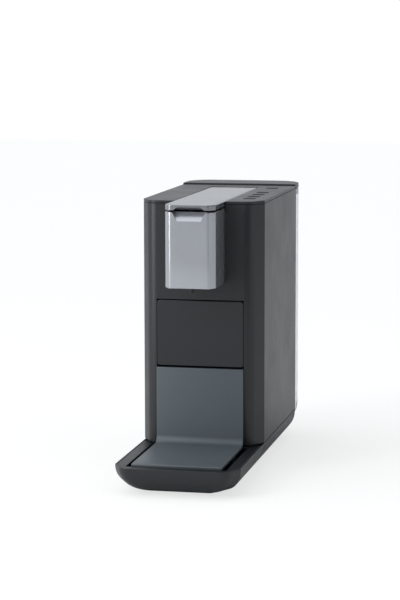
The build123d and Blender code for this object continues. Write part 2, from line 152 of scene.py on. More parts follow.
def makeFloor():
    # a wide square of pale paper
    floor = bpy.data.meshes.new("floor")
    reach = paper["reach"]
    floor.from_pydata([(-reach, -reach, 0), (reach, -reach, 0), (reach, reach, 0), (-reach, reach, 0)],
                      [], [(0, 1, 2, 3)])
    ground = bpy.data.objects.new("floor", floor)
    scene.collection.objects.link(ground)
    finish = bpy.data.materials.new("paleFloor")
    finish.use_nodes = True
    tree = finish.node_tree
    sheet = tree.nodes["Principled BSDF"]
    sheet.inputs["Base Color"].default_value = (*[paper["white"]] * 3, 1)
    sheet.inputs["Roughness"].default_value = paper["rough"]
    glow = tree.nodes.new("ShaderNodeEmission")
    glow.inputs["Strength"].default_value = paper["glow"]
    seen = tree.nodes.new("ShaderNodeLightPath")
    share = tree.nodes.new("ShaderNodeMath")
    share.operation = "MULTIPLY"
    share.inputs[1].default_value = paper["glowShare"]
    both = tree.nodes.new("ShaderNodeMixShader")
    tree.links.new(seen.outputs["Is Camera Ray"], share.inputs[0])
    tree.links.new(share.outputs[0], both.inputs["Fac"])
    tree.links.new(sheet.outputs["BSDF"], both.inputs[1])
    tree.links.new(glow.outputs["Emission"], both.inputs[2])
    tree.links.new(both.outputs["Shader"], tree.nodes["Material Output"].inputs["Surface"])
    floor.materials.append(finish)


# a wide soft light from above and the left, and a key light at the front left
skylight = {"energy": 1.05, "angle": 70, "toward": (0.40, 0.3, -1)}
leftKey = {"place": (-1.3, -1.3, 0.7), "aim": (0, -0.05, 0.15), "size": (0.6, 1.2), "power": 15}


def makeLamp(name, kind, energy, toward):
    # a lamp that shines along the direction given
    data = bpy.data.lights.new(name, kind)
    data.energy = energy
    lamp = bpy.data.objects.new(name, data)
    scene.collection.objects.link(lamp)
    lamp.rotation_euler = Vector(toward).to_track_quat("-Z", "Y").to_euler()
    return lamp


def makeLights():
    lamp = makeLamp("ceiling", "SUN", skylight["energy"], skylight["toward"])
    lamp.data.angle = math.radians(skylight["angle"])
    place = Vector(leftKey["place"])
    lamp = makeLamp("leftKey", "AREA", leftKey["power"], Vector(leftKey["aim"]) - place)
    lamp.location = place
    lamp.data.shape = "RECTANGLE"
    lamp.data.size, lamp.data.size_y = leftKey["size"]
    scene.view_settings.view_transform = "Standard"


makeCamera()
makeRoom()
makeFloor()
makeLights()
print("camera and light ready")

# finishes

finishes = {
    "body_grey": {"colour": (0.0095, 0.0112, 0.014), "rough": 0.42, "grain": 0.25, "bump": 0.10},
    "dark_plastic": {"colour": (0.006, 0.0065, 0.0075), "rough": 0.5, "grain": 0.3, "bump": 0.1},
    "silver": {"colour": (0.40, 0.415, 0.445), "rough": 0.26, "metal": 0.8, "grain": 0.35, "bump": 0.05,
               "stretch": (0.02, 1, 1), "vary": 0.08, "smudge": 1.0},
    "stand_grey": {"colour": (0.085, 0.102, 0.116), "rough": 0.45, "metal": 0.2, "grain": 0.3, "bump": 0.08},
    "clear_tank": {"colour": (0.93, 0.95, 0.97), "rough": 0.05, "clear": 0.95, "grain": 4.0, "bump": 0.01},
    "collar_grey": {"colour": (0.20, 0.24, 0.29), "rough": 0.25, "grain": 1.0, "bump": 0.02},
    "soft_rubber": {"colour": (0.012, 0.012, 0.013), "rough": 0.8, "grain": 0.4, "bump": 0.2},
    "steel": {"colour": (0.50, 0.50, 0.51), "rough": 0.3, "metal": 1.0, "grain": 0.5, "bump": 0.05},
    "heater_alloy": {"colour": (0.52, 0.52, 0.53), "rough": 0.5, "metal": 1.0, "grain": 0.8, "bump": 0.3},
    "pump_coil_plastic": {"colour": (0.30, 0.04, 0.025), "rough": 0.45, "grain": 0.4, "bump": 0.1},
    "brass": {"colour": (0.60, 0.43, 0.18), "rough": 0.3, "metal": 1.0, "grain": 0.5, "bump": 0.05},
    "hose_silicone": {"colour": (0.62, 0.62, 0.60), "rough": 0.4, "grain": 1.0, "bump": 0.03},
    "meter_plastic": {"colour": (0.62, 0.62, 0.60), "rough": 0.4, "grain": 0.5, "bump": 0.05},
    "board_green": {"colour": (0.02, 0.16, 0.06), "rough": 0.35, "grain": 1.5, "bump": 0.05},
    "cutout_ceramic": {"colour": (0.72, 0.70, 0.65), "rough": 0.35, "grain": 1.0, "bump": 0.05},
}


# sizes of the broad clouds and of the smudges in millimetres, how far the clouds change the roughness,
# and the height of the grain where it stands at full strength
coat = {"cloud": 45, "smudge": 26, "roughChange": 0.08, "grainHeight": 0.2}


def makeFinish(name, look):
    # fine grain in the bump, broad clouds in colour and roughness, and sparse smudges that are a
    # little smoother; "stretch" draws the grain out into lines, as brushing does
    material = bpy.data.materials.new(name)
    material.use_nodes = True
    tree = material.node_tree
    shader = tree.nodes["Principled BSDF"]
    place = tree.nodes.new("ShaderNodeTexCoord").outputs["Object"]

    def noise(size, detail, stretch=(1, 1, 1)):
        # size in millimetres
        shape = tree.nodes.new("ShaderNodeMapping")
        shape.inputs["Scale"].default_value = stretch
        tree.links.new(place, shape.inputs["Vector"])
        cloud = tree.nodes.new("ShaderNodeTexNoise")
        cloud.inputs["Scale"].default_value = 1.0 / (size * mm)
        cloud.inputs["Detail"].default_value = detail
        tree.links.new(shape.outputs["Vector"], cloud.inputs["Vector"])
        return cloud.outputs["Fac"]

    def spread(value, fromLow, fromHigh, low, high):
        change = tree.nodes.new("ShaderNodeMapRange")
        sockets = {"From Min": fromLow, "From Max": fromHigh, "To Min": low, "To Max": high}
        for socket, number in sockets.items():
            change.inputs[socket].default_value = number
        tree.links.new(value, change.inputs["Value"])
        return change.outputs["Result"]

    grain = noise(look["grain"], 3, look.get("stretch", (1, 1, 1)))
    cloud = noise(coat["cloud"], 4)
    smudge = noise(coat["smudge"], 2)
    mix = tree.nodes.new("ShaderNodeMix")
    mix.data_type = "RGBA"
    colour = look["colour"]
    vary = look.get("vary", 0.06)
    mix.inputs["A"].default_value = (*[c * (1 - vary) for c in colour], 1)
    mix.inputs["B"].default_value = (*[min(1, c * (1 + vary)) for c in colour], 1)
    blend = tree.nodes.new("ShaderNodeMath")
    blend.operation = "MULTIPLY_ADD"
    tree.links.new(grain, blend.inputs[0])
    blend.inputs[1].default_value = 0.5
    tree.links.new(spread(cloud, 0.3, 0.7, 0.0, 0.5), blend.inputs[2])
    tree.links.new(blend.outputs[0], mix.inputs["Factor"])
    tree.links.new(mix.outputs["Result"], shader.inputs["Base Color"])
    smooth, dull = (look["rough"] * (1 + k * coat["roughChange"]) for k in (-1, 1))
    rough = tree.nodes.new("ShaderNodeMath")
    rough.operation = "MULTIPLY"
    tree.links.new(spread(cloud, 0.3, 0.7, smooth, dull), rough.inputs[0])
    tree.links.new(spread(smudge, 0.55, 0.75, 1.0, look.get("smudge", 0.95)), rough.inputs[1])
    tree.links.new(rough.outputs[0], shader.inputs["Roughness"])
    bump = tree.nodes.new("ShaderNodeBump")
    bump.inputs["Strength"].default_value = look["bump"]
    bump.inputs["Distance"].default_value = coat["grainHeight"] * mm
    tree.links.new(grain, bump.inputs["Height"])
    tree.links.new(bump.outputs["Normal"], shader.inputs["Normal"])
    shader.inputs["Metallic"].default_value = look.get("metal", 0.0)
    shader.inputs["Transmission Weight"].default_value = look.get("clear", 0.0)
    shader.inputs["IOR"].default_value = 1.5
    shader.inputs["Specular IOR Level"].default_value = look.get("gloss", 0.5)
    return material


materials = {name: makeFinish(name, look) for name, look in finishes.items()}
variants = {
    "leverSilver": {**finishes["silver"], "colour": (0.27, 0.28, 0.30)},   # a shade darker than the head
    "mattBlack": {**finishes["dark_plastic"], "colour": (0.003, 0.0034, 0.004), "rough": 0.62, "gloss": 0.16},
    # body grey darkened as painted shade for the tray rim, with less gloss
    "rimShadedGrey": {**finishes["body_grey"], "colour": (0.006, 0.007, 0.009), "gloss": 0.3},
}
for name, look in variants.items():
    materials[name] = makeFinish(name, look)
for part in frame["record"]["subparts"]:
    mesh = frame["nodes"][part["node"]].data
    mesh.materials.clear()
    mesh.materials.append(materials[part["material_slot"]])
print("finishes ready")

# surfaces: points on grids, joined in fours


def unit(v):
    # each vector divided by its length
    return v / np.linalg.norm(v, axis=-1, keepdims=True)


def mirrored(points):
    # x changes sign and the order turns round, so an outline goes on the same way
    return points[::-1] * [-1, 1]


def roundCorners(corners, radii, steps=8):
    # each corner becomes an arc: its centre lies on the corner's bisector,
    # and the arc turns evenly from one side to the other
    p = np.asarray(corners, float)
    a = unit(np.roll(p, 1, 0) - p)
    b = unit(np.roll(p, -1, 0) - p)
    turn = (np.pi - np.arccos(np.clip((a * b).sum(1), -1, 1)))[:, None]
    r = np.broadcast_to(np.asarray(radii, float), len(p))[:, None]
    centre = p + unit(a + b) * r / np.cos(turn / 2)
    first = p + a * r * np.tan(turn / 2) - centre
    last = p + b * r * np.tan(turn / 2) - centre
    k = np.linspace(0, 1, steps)[None, :, None]
    turn = turn[:, None]
    arc = (np.sin((1 - k) * turn) * first[:, None] + np.sin(k * turn) * last[:, None]) / np.sin(turn)
    return (centre[:, None] + arc).reshape(-1, 2)


def inset(loop, distance):
    # each point slides along its corner's bisector, so every side moves inwards by the distance;
    # where two points fall together, the side before them is used again
    ahead = np.roll(loop, -1, 0) - loop
    real = np.linalg.norm(ahead, axis=1) > 1e-5
    last = np.maximum.accumulate(np.where(real, np.arange(len(loop)), -1))
    last = np.where(last < 0, np.flatnonzero(real)[-1], last)
    ahead = unit(ahead[last])
    left = np.stack([-ahead[:, 1], ahead[:, 0]], -1)
    both = left + np.roll(left, 1, 0)
    return loop + 2 * both / (both ** 2).sum(1, keepdims=True) * distance


def draw(shape, closer=0.0):
    # an outline of corners and radii, drawn in by a distance: outer rounds get tighter, inner ones wider
    corners, radii, steps = shape
    p = np.asarray(corners, float)
    before, after = p - np.roll(p, 1, 0), np.roll(p, -1, 0) - p
    bulge = np.sign(before[:, 0] * after[:, 1] - before[:, 1] * after[:, 0])
    return roundCorners(inset(p, closer), np.maximum(np.asarray(radii) - closer * bulge, 0.02), steps)


def tower(rows):
    # outlines with the same number of points, one above the other, as a grid
    return np.stack([np.column_stack([loop, np.broadcast_to(z, len(loop))]) for loop, z in rows])


def quads(grid):
    # neighbours in a grid of points joined in fours, and the last column to the first
    rows, cols = grid.shape[:2]
    r, c = np.meshgrid(np.arange(rows - 1), np.arange(cols), indexing="ij")
    n = (c + 1) % cols
    return np.stack([r * cols + c, r * cols + n, (r + 1) * cols + n, (r + 1) * cols + c], -1).reshape(-1, 4)


def skin(grid):
    # a grid's points in one list, and its faces
    return grid.reshape(-1, 3), quads(grid)


def flatFace(loops, height):
    # the flat area inside the outlines, in triangles: those kept have an odd number
    # of outline edges on a line from their middle to the right
    points = np.concatenate(loops)
    ends = np.cumsum([len(loop) for loop in loops])
    after = np.arange(1, len(points) + 1)
    after[ends - 1] = ends - [len(loop) for loop in loops]
    edges = np.column_stack([np.arange(len(points)), after])
    flat, _, tris, *_ = delaunay_2d_cdt([Vector(p) for p in points.tolist()], edges.tolist(), [], 0, 1e-7)
    flat, tris = np.array(flat), np.array(tris)
    x, y = flat[tris].mean(1).T[:, :, None]
    a, b = points, points[after]
    rise = np.where(a[:, 1] == b[:, 1], 1.0, b[:, 1] - a[:, 1])
    crossed = ((a[:, 1] > y) != (b[:, 1] > y)) & (x < a[:, 0] + (b[:, 0] - a[:, 0]) * (y - a[:, 1]) / rise)
    tris = tris[crossed.sum(1) % 2 == 1]
    return np.column_stack([flat, np.full(len(flat), height)]), tris


def edgeRows(shape, low, high, lowEdge, highEdge, hold=0.35, steps=4):
    # a plate's wall: quarter round, straight, quarter round, with one more row on each flat
    a = np.radians(np.linspace(0, 90, steps + 1))
    rows = [(draw(shape, lowEdge + hold), low)]
    rows += [(draw(shape, lowEdge * (1 - math.sin(t))), low + lowEdge * (1 - math.cos(t))) for t in a]
    rows += [(draw(shape, highEdge * (1 - math.cos(t))), high - highEdge * (1 - math.sin(t))) for t in a]
    return rows + [(draw(shape, highEdge + hold), high)]


def plate(shapes, low, high, lowEdge=0.3, highEdge=0.3, hold=0.35):
    # an outline, and holes that run the other way, between two heights with rounded edges
    rows = [edgeRows(shape, low, high, lowEdge, highEdge, hold) for shape in shapes]
    surfaces = [skin(tower(row)) for row in rows]
    surfaces.append(flatFace([row[0][0] for row in rows], low))
    surfaces.append(flatFace([row[-1][0] for row in rows], high))
    return surfaces


def fan(loop, height, depth=0.0, rings=6):
    # outlines that shrink onto their middle, lowest there by the depth
    middle = loop.mean(0)
    k = np.linspace(1, 0, rings + 1)
    return [(middle + (loop - middle) * s, height - depth * (1 - s * s)) for s in k]


def lathe(profile, centre, around=48):
    # a profile of radius and height carried round an upright axis
    t = np.linspace(0, 2 * np.pi, around, endpoint=False)[:, None]
    radius, height = np.asarray(profile, float).T[:, None]
    ring = [centre[0] + radius * np.cos(t), centre[1] + radius * np.sin(t), height + 0 * t]
    return skin(np.stack(ring, -1).transpose(1, 0, 2))


def rectangle(x0, x1, y0, y1, radius, steps=8, hole=False):
    # four corners against the clock, or with it for a hole, each with the same round
    corners = [(x0, y0), (x1, y0), (x1, y1), (x0, y1)]
    return corners[::-1] if hole else corners, [radius] * 4, steps


def disc(x, y, radius, steps=9, hole=False):
    # a square of twice the radius, its rounds so large that they meet
    return rectangle(x - radius, x + radius, y - radius, y + radius, radius - 1e-4, steps, hole)


def mirror(shape):
    # the same outline on the other side of the middle, its rounds in the same order as its corners
    return mirrored(np.asarray(shape[0])), shape[1][::-1], shape[2]


def turned(surfaces, order):
    # the same surfaces with their axes exchanged
    return [(points[:, order], faces) for points, faces in surfaces]


acrossX = [2, 0, 1]   # outline drawn as (y, z), carried along x
acrossY = [0, 2, 1]   # outline drawn as (x, z), carried along y


def makePiece(name, surfaces, body, slot, replaced, crease=32, finish=None):
    # joins surfaces into one mesh, merges the points they share, and gives it its body and its finish: the
    # one named, else the slot's
    points = np.concatenate([p for p, _ in surfaces]) * mm
    starts = np.cumsum([0] + [len(p) for p, _ in surfaces])
    faces = [face for (_, f), start in zip(surfaces, starts) for face in (f + start).tolist()]
    mesh = bpy.data.meshes.new(name)
    mesh.from_pydata(points.tolist(), [], faces)
    work = bmesh.new()
    work.from_mesh(mesh)
    bmesh.ops.remove_doubles(work, verts=work.verts, dist=2e-6)
    bmesh.ops.recalc_face_normals(work, faces=work.faces)
    work.to_mesh(mesh)
    work.free()
    mesh.polygons.foreach_set("use_smooth", np.ones(len(mesh.polygons), bool))
    mesh.set_sharp_from_angle(angle=math.radians(crease))
    mesh.materials.append(materials[finish or slot])
    piece = bpy.data.objects.new(name, mesh)
    scene.collection.objects.link(piece)
    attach(piece, body)
    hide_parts(replaced)


# the machine's plan: flat face, arc, facet, soft crease, flat side

corner = {"flatInset": 19.2, "arc": 13.0, "turn": 62.0, "creaseDepth": 21.5, "crease": 1.0, "back": 0.6}


def planCorners(half, front, rear, scale=1.0):
    # the outline's corners, against the clock from the front right; the first stands past the end
    # of the flat face by the arc's radius times the tangent of half the turn
    meet = half + scale * (corner["arc"] * math.tan(math.radians(corner["turn"] / 2)) - corner["flatInset"])
    deep = front + corner["creaseDepth"] * scale
    right = np.array([(meet, front), (half, deep), (half, rear)])
    return np.concatenate([right, mirrored(right)])


def planShape(half, front, rear, scale=1.0, arc=None, steps=10):
    # that outline with its rounds: arc, crease and back corner
    radii = [corner["arc"] * scale if arc is None else arc, corner["crease"], corner["back"]]
    return planCorners(half, front, rear, scale), radii + radii[::-1], steps


# side panels, fascia and door

half = span("right_side_panel")[1][0]
bodyFront = span("front_fascia")[0][1]
bodyRear = span("right_side_panel")[1][1]

panel = {"wall": 2.5, "edge": 0.35, "fasciaHalf": 48.9, "bossHalf": 4.0, "bossX": 60.0,
         "bossY": (140.0, 151.8), "screwHeights": (70, 175, 280), "screwHole": 1.45,
         "pinY": (25, 135), "pinZ": (155, 265), "pinRadius": 3.0, "pinStart": 59.7}


def panelShape():
    # the right panel seen from above: outside forwards to back, then back along the inside
    outer = planCorners(half, bodyFront, bodyRear)
    inner = inset(outer, panel["wall"])
    edge = panel["fasciaHalf"]
    corners = [(edge, bodyFront), *outer[:3], (half - panel["wall"], bodyRear), inner[1], inner[0],
               (edge, bodyFront + panel["wall"])]
    arc = corner["arc"]
    return corners, [0.02, arc, corner["crease"], 0.5, 0.5, 0.4, arc - panel["wall"] - 1.0, 0.3], 10


def makeSidePanels():
    # a thin plan carried upwards, with blocks for the rear screws and pins for the works inside it
    low, high = (v[2] for v in span("right_side_panel"))
    shape = panelShape()
    for side, name in ((1, "right"), (-1, "left")):
        surfaces = plate([shape if side > 0 else mirror(shape)], low, high, panel["edge"], panel["edge"])
        x0, x1 = sorted((side * (panel["bossX"] - panel["bossHalf"]), side * (half - 1)))
        for z in panel["screwHeights"]:
            block = rectangle(x0, x1, z - panel["bossHalf"], z + panel["bossHalf"], 0.8)
            hole = disc(side * panel["bossX"], z, panel["screwHole"], 5, hole=True)
            surfaces += turned(plate([block, hole], *panel["bossY"], 0.2, 0.2), acrossY)
        if side > 0:
            for y in panel["pinY"]:
                for z in panel["pinZ"]:
                    pin = disc(y, z, panel["pinRadius"], 6)
                    surfaces += turned(plate([pin], panel["pinStart"], half - 1, 0.2, 0.2), acrossX)
        makePiece(f"{name}_panel", surfaces, "machine", "body_grey", f"{name}_side_panel")


fascia = {"slotGap": 0.7, "slotFloor": 288.8, "window": 25.0, "sill": 216.0, "edge": 0.12}


def makeFascia():
    # a slot for the lever at the top, and under it the window behind the brew head
    low, high = span("front_fascia")
    slot, floor = span("lever_cover")[1][0] + fascia["slotGap"], fascia["slotFloor"]
    edge, window = panel["fasciaHalf"], fascia["window"]
    outline = np.array([(-edge, low[2]), (edge, low[2]), (edge, high[2]), (slot, high[2]), (slot, floor),
                        (window, floor), (window, fascia["sill"])])
    outline = np.concatenate([outline, mirrored(outline[2:])])
    shape = (outline, [0.04] * len(outline), 3)
    surfaces = turned(plate([shape], low[1], high[1], fascia["edge"], fascia["edge"], 0.1), acrossY)
    makePiece("fascia", surfaces, "machine", "body_grey", "front_fascia")


door = {"corner": 3.2, "edge": 0.7}


def makeDoor():
    # a rounded rectangle of x and z carried along y
    low, high = span("bin_door")
    shape = rectangle(low[0], high[0], low[2], high[2], door["corner"], 10)
    surfaces = turned(plate([shape], low[1], high[1], door["edge"], 0.3), acrossY)
    makePiece("door", surfaces, "pod_bin", "body_grey", "bin_door")


podBin = {"corner": 6.0, "wall": 2.0, "edge": 0.6}


def makeBin():
    # rounded rectangles from the middle of the bottom outwards, up, over the edge, down and in again
    low, high = span("pod_bin")
    outer = rectangle(low[0], high[0], low[1], high[1], podBin["corner"])
    floor = low[2] + podBin["wall"]
    rows = fan(draw(outer, 1.5), low[2])[::-1] + edgeRows(outer, low[2], high[2], 1.0, podBin["edge"], 0.1)
    inside = draw(outer, podBin["wall"])
    rows += [(inside, high[2] - podBin["edge"]), (inside, floor + 1.0),
             (draw(outer, podBin["wall"] + 1.0), floor)]
    rows += fan(draw(outer, podBin["wall"] + 1.3), floor)
    makePiece("used_pod_bin", [skin(tower(rows))], "pod_bin", "dark_plastic", "pod_bin")


makeSidePanels()
makeFascia()
makeDoor()
makeBin()
print("panels, fascia, door and bin ready")

# top cover and buttons

cover = {"low": 297.5, "edge": 0.8, "holeEdge": 0.25, "holeCorner": 2.3, "gap": 0.4, "channelWall": 1.6,
         "channelLow": 289.0, "channelFloor": 291.0, "channelPast": 2.0, "podHole": (19.5, -61.0, -37.0),
         "openBehind": 82.0, "slotHalf": 28.2, "slotRear": 127.0}
buttonNames = ["selection_button_1", "selection_button_2", "selection_button_3", "selection_button_4",
               "power_button"]


def makeTopCover():
    # the plan between two heights with a hole for each button and a slot for the lever,
    # and under the slot a channel: a wall on three sides and a floor
    low, high = cover["low"], span("top_cover")[1][2]
    rear = span("top_cover")[1][1]
    slot, slotRear = cover["slotHalf"], cover["slotRear"]
    right = planCorners(half, bodyFront, rear)[:3]
    corners = np.concatenate([[(slot, bodyFront)], right, mirrored(right), [(-slot, bodyFront)],
                              [(-slot, slotRear), (slot, slotRear)]])
    radii = [0.3, corner["arc"], corner["crease"], 1.5, 1.5, corner["crease"], corner["arc"], 0.3, 1.0, 1.0]
    shapes = [(corners, radii, 10)]
    for name in buttonNames:
        a, b = span(name)
        g = cover["gap"]
        shapes.append(rectangle(a[0] - g, b[0] + g, a[1] - g, b[1] + g, cover["holeCorner"], 6, hole=True))
    rows = [edgeRows(shapes[0], low, high, 0.2, cover["edge"])]
    rows += [edgeRows(shape, low, high, 0.2, cover["holeEdge"]) for shape in shapes[1:]]
    surfaces = [skin(tower(row)) for row in rows]
    surfaces += [flatFace([row[0][0] for row in rows], low), flatFace([row[-1][0] for row in rows], high)]
    wall, start, end = cover["channelWall"], bodyFront + 3, slotRear + cover["channelPast"]
    arm = np.array([(slot, start), (slot + wall, start), (slot + wall, end + wall)])
    bend = [(-slot, end), (slot, end)]
    walls = (np.concatenate([arm, mirrored(arm), bend]), [0.2] * 8, 3)
    surfaces += plate([walls], cover["channelLow"], low + 0.1, 0.2, 0.1, 0.1)
    x, y0, y1 = cover["podHole"]
    floor = [rectangle(-slot - 0.1, slot + 0.1, start, cover["openBehind"], 0.3),
             rectangle(-x, x, y0, y1, 4.0, 6, hole=True)]
    surfaces += plate(floor, cover["channelLow"], cover["channelFloor"], 0.2, 0.6)
    makePiece("top_lid", surfaces, "machine", "body_grey", "top_cover")


button = {"foot": 297.2, "corner": 2.0, "edge": 0.45, "dish": 0.4, "stem": 2.5}


def makeButtons():
    # a rounded rectangle with a shallow parabola for a top, on a turned stem
    for name in buttonNames:
        low, high = span(name)
        foot = button["foot"]
        shape = rectangle(low[0], high[0], low[1], high[1], button["corner"])
        rows = fan(draw(shape, 0.6), foot)[::-1] + edgeRows(shape, foot, high[2], 0.2, button["edge"])
        rows += fan(rows[-1][0], high[2], button["dish"])
        middle = (low + high) / 2
        stem = [(0, low[2]), (button["stem"] - 0.3, low[2]), (button["stem"], low[2] + 0.3),
                (button["stem"], foot + 0.2), (0, foot + 0.2)]
        surfaces = [skin(tower(rows)), lathe(stem, middle[:2], 24)]
        makePiece(f"{name}_cap", surfaces, name, "dark_plastic", name, finish="mattBlack")


makeTopCover()
makeButtons()
print("top cover and buttons ready")

# brew head

head = {"scale": 0.42, "wall": 2.0, "edge": 0.8, "topEdge": 0.3, "scoopLow": 283.5, "scoopHalf": (13.0, 18.2),
        "scoopDepth": 7.5, "backingHalf": 19.5, "backingLow": 281.0, "backingDepth": 9.5, "plateArc": 3.4}


def headPath(width, front, rear, arc, crease, dentHalf, dent):
    # half of the head's outline mirrored: rear, crease, facet, arc, then a notch in the front,
    # with two columns standing at each side of the notch
    shape = (planCorners(width, front, rear, head["scale"]), [arc, crease, 0.2, 0.2, crease, arc], 14)
    right = draw(shape)[:42]
    floor = np.column_stack([np.linspace(-dentHalf, dentHalf, 11), np.full(11, front + dent)])
    return np.concatenate([mirrored(right), [(-dentHalf, front)], floor, [(dentHalf, front)], right])


def makeHeadShell():
    # a wall that follows the head's outline, with a scoop that grows evenly towards the top
    low, high = span("brew_head_shell")
    width, front, rear, wall = high[0], low[1], high[1], head["wall"]
    arc = corner["arc"] * head["scale"]
    tall = high[2] - head["scoopLow"]

    def ring(z, c=0.0):
        # the outside at this height, drawn in by c, then back along the inside
        rise = max(0.0, (z - head["scoopLow"]) / tall)
        scoop = head["scoopHalf"][0] + (head["scoopHalf"][1] - head["scoopHalf"][0]) * rise
        outer = headPath(width - c, front + c, rear - c, arc - c, max(0.6 - c, 0.02), scoop + c,
                         head["scoopDepth"] * rise)
        back = head["backingDepth"] - wall if z > head["backingLow"] else 0.0
        inner = headPath(width - wall + c, front + wall - c, rear - c, arc - wall, 0.3,
                         head["backingHalf"] - c, back)
        return np.concatenate([outer, inner[::-1]])

    step = head["backingLow"]
    heights = [240, 262, step, step + 0.001, head["scoopLow"], 286, 288.5, 291]
    a = np.radians(np.linspace(0, 90, 6))
    e, t = head["edge"], head["topEdge"]
    rows = [(ring(low[2], e * (1 - math.sin(k))), low[2] + e * (1 - math.cos(k))) for k in a]
    rows += [(ring(z), z) for z in heights]
    rows += [(ring(high[2], t * (1 - math.cos(k))), high[2] - t * (1 - math.sin(k))) for k in a]
    surfaces = [skin(tower(rows)), flatFace([rows[0][0]], low[2]), flatFace([rows[-1][0]], high[2])]
    makePiece("head_shell", surfaces, "machine", "silver", "brew_head_shell")


spoutForm = {"bore": 3.5, "outer": 6.0, "flange": 8.0, "flangeLow": 215.1, "flangeHigh": 217.9,
             "tipBore": 1.6, "tip": 2.6, "tipTop": 212.0, "below": 2.0, "gutterHalf": 9.0, "gutterWall": 2.0,
             "gutterRear": -42.0, "gutterTop": 224.0, "gutterFloor": 220.0}


def makeHeadPlates():
    # the head's plan between two heights, above and below the shell
    low, high = span("head_top_plate")
    shape = planShape(high[0], low[1], high[1], head["scale"], head["plateArc"])
    surfaces = plate([shape], low[2], high[2], 0.2, 0.5)
    makePiece("head_top", surfaces, "machine", "dark_plastic", "head_top_plate")
    low, high = span("head_underside")
    shape = planShape(high[0], low[1], high[1], head["scale"], head["plateArc"])
    hole = disc(0, spoutY(), spoutForm["outer"] + 0.1, 12, hole=True)
    surfaces = plate([shape, hole], low[2], high[2], 0.6, 0.3)
    makePiece("head_floor", surfaces, "machine", "dark_plastic", "head_underside")


def spoutY():
    # the spout's axis: one flange radius behind its front
    return span("coffee_spout")[0][1] + spoutForm["flange"]


def makeSpout():
    # a turned nozzle with a fine tip, and the gutter that runs back from it
    form, y = spoutForm, spoutY()
    bottom = span("coffee_spout")[0][2]
    step = span("head_underside")[0][2] - form["below"]
    bore, outer, flange = form["bore"], form["outer"], form["flange"]
    nozzle = [(form["tipBore"], bottom + 0.4), (form["tipBore"] + 0.3, bottom), (form["tip"] - 0.3, bottom),
              (form["tip"], bottom + 0.4), (form["tip"], step), (outer - 0.6, step), (outer, step + 0.6),
              (outer, form["flangeLow"]), (flange, form["flangeLow"]), (flange, form["flangeHigh"]),
              (bore, form["flangeHigh"]), (bore, form["tipTop"] + 1.0), (form["tipBore"], form["tipTop"])]
    side, wall, rear = form["gutterHalf"], form["gutterWall"], form["gutterRear"]
    front = y - side + 1
    trough = [rectangle(-side, side, front, rear, 2.0),
              rectangle(-side + wall, side - wall, front + 1.5, rear - 1.5, 1.2, 6, hole=True)]
    surfaces = [lathe(nozzle + nozzle[:1], (0, y), 48)]
    surfaces += plate(trough, form["flangeHigh"], form["gutterTop"], 0.3, 0.3)
    floor = [rectangle(-side + 1.5, side - 1.5, front + 1, rear - 1, 1.5), disc(0, y, bore, 9, hole=True)]
    surfaces += plate(floor, form["flangeHigh"] + 0.1, form["gutterFloor"], 0.1, 0.1, 0.1)
    makePiece("spout", surfaces, "machine", "dark_plastic", "coffee_spout")


lever = {"notchHalf": (17.0, 12.5), "notchTop": 298.5, "notchDepth": 7.5, "wall": 1.6, "frontWall": 8.8,
         "rearWall": 3.6, "edge": 0.9, "lowEdge": 0.3, "rearEdge": 4.0}


def makeLever():
    # outlines from the middle of the inside down, round the low edge, up, and over to the middle of the top
    low, high = span("lever_cover")
    width, front, rear = high[0], low[1], high[1]
    arc = corner["arc"] * head["scale"]
    top = high[2]
    rise = lever["notchTop"] - low[2]

    def ring(z, c=0.0):
        # the outline at this height, drawn in by c, with the notch for a finger under its front edge
        share = min(1.0, max(0.0, (z - low[2]) / rise))
        notch = lever["notchHalf"][0] + (lever["notchHalf"][1] - lever["notchHalf"][0]) * share
        return headPath(width - c, front + c, rear - c, arc - c, max(0.6 - c, 0.02), notch,
                        lever["notchDepth"] * (1 - share))

    wall, thick = lever["wall"], lever["frontWall"]
    inside = headPath(width - wall, front + thick, rear - lever["rearWall"], arc - 1.0, 0.6,
                      lever["notchHalf"][0], 0.0)
    e = lever["edge"]
    a = np.radians(np.linspace(0, 90, 7))
    rows = fan(inside, top - wall)[::-1] + [(inside, low[2]), (ring(low[2]), low[2])]
    rows += [(ring(z), z) for z in np.linspace(low[2] + lever["lowEdge"], lever["notchTop"], 5)]
    rows += [(ring(top, e * (1 - math.cos(t))), top - e * (1 - math.sin(t))) for t in a]
    rows += fan(ring(top, e + 0.4), top)
    grid = tower(rows)
    # the rear end rolls down: near it, nothing stands above a quarter circle
    r = lever["rearEdge"]
    past = np.clip(grid[..., 1] - (rear - r), 0, r)
    grid[..., 2] = np.minimum(grid[..., 2], top - r + np.sqrt(r * r - past ** 2))
    makePiece("lever_lid", [skin(grid)], "lever", "silver", "lever_cover", finish="leverSilver")


makeHeadShell()
makeHeadPlates()
makeSpout()
makeLever()
print("brew head and lever ready")

# drip tray, cup stand and base

tray = {"roll": 27.0, "low": 2.0, "gap": 0.6, "edge": 0.45, "lip": 1.5, "ledge": 27.4, "upper": 4.0,
        "step": 24.0, "wall": 2.5, "seamLow": (-62.0, 2.0), "seamMid": (-51.5, 17.0),
        "seamTop": (-47.0, 30.0)}


def seam(z):
    # the curved joint between tray and base: the circle through three points, its y at a height
    (y0, z0), (y1, z1), (y2, z2) = tray["seamLow"], tray["seamMid"], tray["seamTop"]
    a = np.array([[y1 - y0, z1 - z0], [y2 - y0, z2 - z0]]) * 2
    b = np.array([y1 ** 2 - y0 ** 2 + z1 ** 2 - z0 ** 2, y2 ** 2 - y0 ** 2 + z2 ** 2 - z0 ** 2])
    cy, cz = np.linalg.solve(a, b)
    radius = math.hypot(y0 - cy, z0 - cz)
    return cy + math.copysign(1, y1 - cy) * np.sqrt(radius ** 2 - (z - cz) ** 2)


